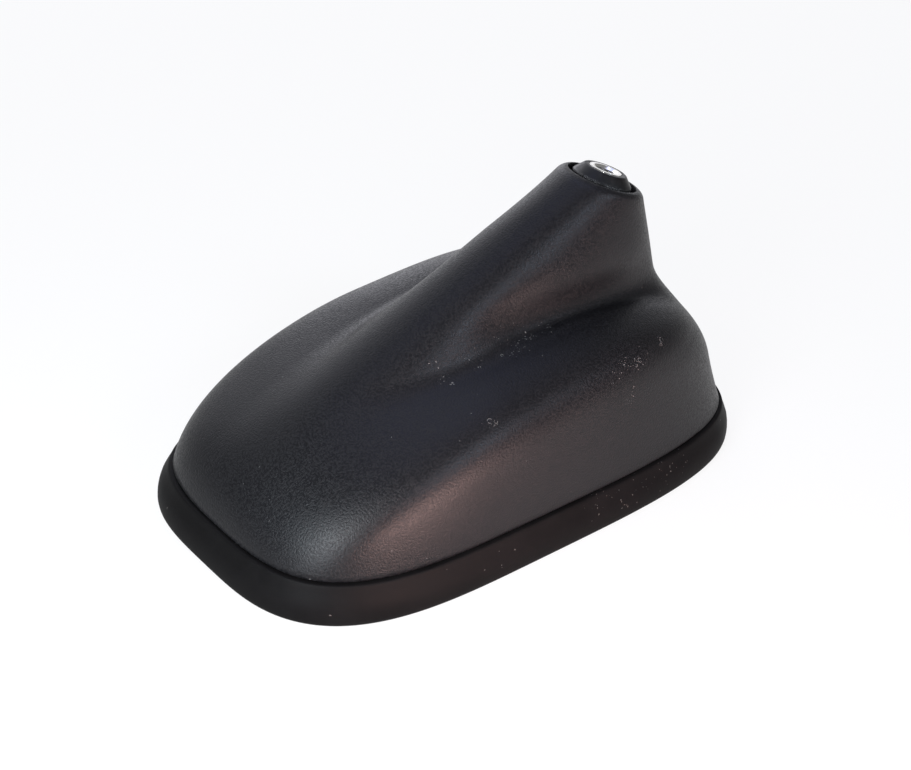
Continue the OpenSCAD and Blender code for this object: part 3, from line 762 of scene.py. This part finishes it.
outer = [meet(swing(low, high, 1 - (1 - i / outer_rings) ** crowd)) for i in range(outer_rings)]
edge = outer[0]
inward = -square_out(edge + [0, 0, 0.6])
inward[:, 2] = 0
inward = unit(inward)
lip = [edge + inward * lip_r * (1 - math.cos(t)) + [0, 0, lip_r * (1 - math.sin(t))]
       for t in np.radians([90, 68, 45, 22])]
outer = lip + [ring for ring in outer[1:] if ring[:, 2].min() > edge_z + lip_r + 0.1]
inner = []
for i in range(inner_rings - 1, -1, -1):
    p = meet(swing(low, inner_high, i / inner_rings))
    q = p - wall * square_out(p)
    if i == 0:
        q[:, 2] = edge_z
    inner.append(q)
bore_profile = ((mouth_r + 0.12, 0.0), (mouth_r + 0.03, 0.05), (mouth_r, 0.15), (mouth_r, bore_depth))
bore = [mast_ring(turn, r, depth) for r, depth in bore_profile]
cover = skin("cover_shell", outer + bore + [step_ring] + inner)
sharpen(cover, 50)

plastic, place, link, bump = material("grained_plastic", (0.0055, 0.0055, 0.0062), roughness=0.44,
                                      specular=0.2)
grain = place.noise(2700, 1, 0.5)
speckle = grain.spread(0.38, 0.62)
coil = place.noise(1300, 1)
patch = place.noise(28, 3, 0.5)
tone = patch.spread(0.3, 0.7).mix((0.0028, 0.0028, 0.0035), (0.004, 0.0039, 0.0048))
# Dust has caught on the grain beside the stem, over the tail's shoulder and in loose grains everywhere
grains = dust(place, 0.003, 0.7, (18, 11.5, 34.6, 4), (11, 12.2, 35.7, 4), (4, 12.7, 36.3, 5),
              (-1.4, 12.5, 36.7, 5), (-8, 12, 37, 3), (-12, 26, 33.3, 4), (-18, 26.5, 32.3, 4),
              (-22.3, 26.2, 32.5, 4), (-31, 23.6, 33, 2.5), (-18, 29, 27, 3), (16.6, 25.1, 31.3, 2),
              (39.9, 17.9, 26.1, 1))
# Curls of lint lie among the dust: the middle and the radius of each
lint_curls = ((16.6, 25.1, 31.3, 0.55), (15.6, 25.7, 31.1, 0.4), (-22.3, 26.2, 32.5, 0.5),
              (-20.9, 26.9, 32.1, 0.4), (-31, 23.6, 33, 0.6), (-30.2, 24.4, 32.7, 0.4), (4.5, 14, 36.1, 0.4))
for *middle, r in lint_curls:
    away = place.distance(*middle)
    curl = (away > 0.78 * r / 1000) * (away < r / 1000) * (coil > 0.48)
    grains = grains.maths("MAXIMUM", grains, curl)
link(Base_Color=grains.mix(speckle.mix(tone, (0.0068, 0.0068, 0.0077)), (0.1, 0.1, 0.098)),
     Roughness=grains.maths("MAXIMUM", speckle.spread(0.0, 1.0, 0.34, 0.5), grains * 0.8))
bump(grain, 0.0001, 0.8)
dress(cover, plastic, "cover")


# Floor, light and camera
# A pale floor stands in for the roof skin under the gasket. Soft lamps on the far side and overhead
# light the whole antenna, and small ones give the cool shine on its nose and the warm one on its side.

# The floor is open under the gasket, so that the underside shows from below
floor_reach, floor_z, floor_lap, sides = 3, -0.00001, 1.3, 180
opening = plan_offset(plan_angles(sides), gasket_reach - floor_lap) / 1000
border = floor_reach * opening / np.linalg.norm(opening, axis=1)[:, None]
floor_mesh = bpy.data.meshes.new("floor")
floor_mesh.from_pydata([(x, y, floor_z) for x, y in (*opening, *border)], [],
                       [(i, sides + i, sides + (i + 1) % sides, (i + 1) % sides) for i in range(sides)])
floor = in_scene("floor", floor_mesh)
paper = material("pale_paper", (0.8, 0.8, 0.8), roughness=0.9, specular=0.2)[0]
tree = paper.node_tree
rays = tree.nodes.new("ShaderNodeLightPath")
seen = Wire(tree, rays.outputs["Is Camera Ray"])
for kind in ("Is Glossy Ray", "Is Transmission Ray"):
    seen = seen.maths("MAXIMUM", seen, Wire(tree, rays.outputs[kind]))
shaded = Wire(tree, tree.nodes["Principled BSDF"].outputs[0])
white = shaded.node("ShaderNodeEmission", Color=(1, 1, 1, 1), Strength=1.0)
mixed = shaded.node("ShaderNodeMixShader", _0=seen * 0.85, _1=shaded, _2=white)
tree.links.new(mixed.socket, tree.nodes["Material Output"].inputs[0])
floor.data.materials.append(paper)

world = bpy.data.worlds.new("studio")
bpy.context.scene.world = world
world.use_nodes = True
world.node_tree.nodes["Background"].inputs["Color"].default_value = (0.25, 0.25, 0.25, 1)


def lamp(name, at, size, power, color, aim=(0, 0, 0.02)):
    """A square soft light that looks at the antenna, or at aim. It lights, but isn't seen itself."""
    data = bpy.data.lights.new(name, "AREA")
    data.shape, data.size, data.energy, data.color = "SQUARE", size, power, color
    made = in_scene(name, data)
    made.location = at
    made.rotation_euler = (Vector(at) - Vector(aim)).to_track_quat("Z", "Y").to_euler()
    made.visible_camera = False


def around_it(azimuth, elevation):
    """A place a metre away from the middle of the antenna, 30 mm up."""
    a, e = math.radians(azimuth), math.radians(elevation)
    return math.cos(a) * math.cos(e), math.sin(a) * math.cos(e), 0.03 + math.sin(e)


window, warm = (0.92, 0.92, 1.0), (1.0, 0.64, 0.58)
windows = ((240, 10, 1.8), (270, 10, 0.6), (210, 10, 0.6), (255, 34, 1.3), (285, 34, 1.25))
for number, (azimuth, elevation, power) in enumerate(windows):
    lamp(f"window_{number}", around_it(azimuth, elevation), 0.45, power, window)
lamp("ceiling_high", around_it(240, 82), 0.5, 1.5, (0.64, 0.67, 1.0))
lamp("ceiling_far", around_it(240, 60), 0.45, 0.9, (0.5, 0.57, 1.0))
lamp("ceiling_near", around_it(105, 37), 0.25, 3.6, (0.72, 0.83, 1.0))
lamp("nose_high", (0.182, 0.105, 0.13), 0.1, 0.4, (0.96, 0.97, 1.0))
lamp("nose_front", (0.203, 0.054, 0.13), 0.1, 0.18, (0.72, 0.9, 1.0))
lamp("nose_low", (0.182, 0.105, 0.05), 0.1, 0.24, (0.85, 0.92, 1.0))
lamp("warm_card", (0.024, 0.128, 0.007), 0.085, 0.36, warm)
lamp("warm_sheet", (0.01, 0.145, 0.002), 0.09, 0.4, warm, aim=(0.01, 0.145, 1))

# The camera's place, the direction from the antenna to it and its roll, from the outlines in the photo
camera_at = Vector((0.22715, 0.23658, 0.23381))
azimuth, elevation, roll = (math.radians(v) for v in (46.52, 33.21, 6.55))
photo_width, focal_pixels, sensor_width = 911, 1900, 36.0
level = math.cos(elevation)
back = Vector((math.cos(azimuth) * level, math.sin(azimuth) * level, math.sin(elevation)))
facing = back.to_track_quat("Z", "Y") @ Quaternion((0, 0, 1), roll)
camera_data = bpy.data.cameras.new("camera")
camera_data.sensor_width, camera_data.sensor_fit = sensor_width, "HORIZONTAL"
camera_data.lens = focal_pixels / photo_width * sensor_width
camera = in_scene("camera", camera_data)
camera.matrix_world = Matrix.Translation(camera_at) @ facing.to_matrix().to_4x4()
bpy.context.scene.camera = camera
bpy.context.scene.view_settings.view_transform = "Standard"
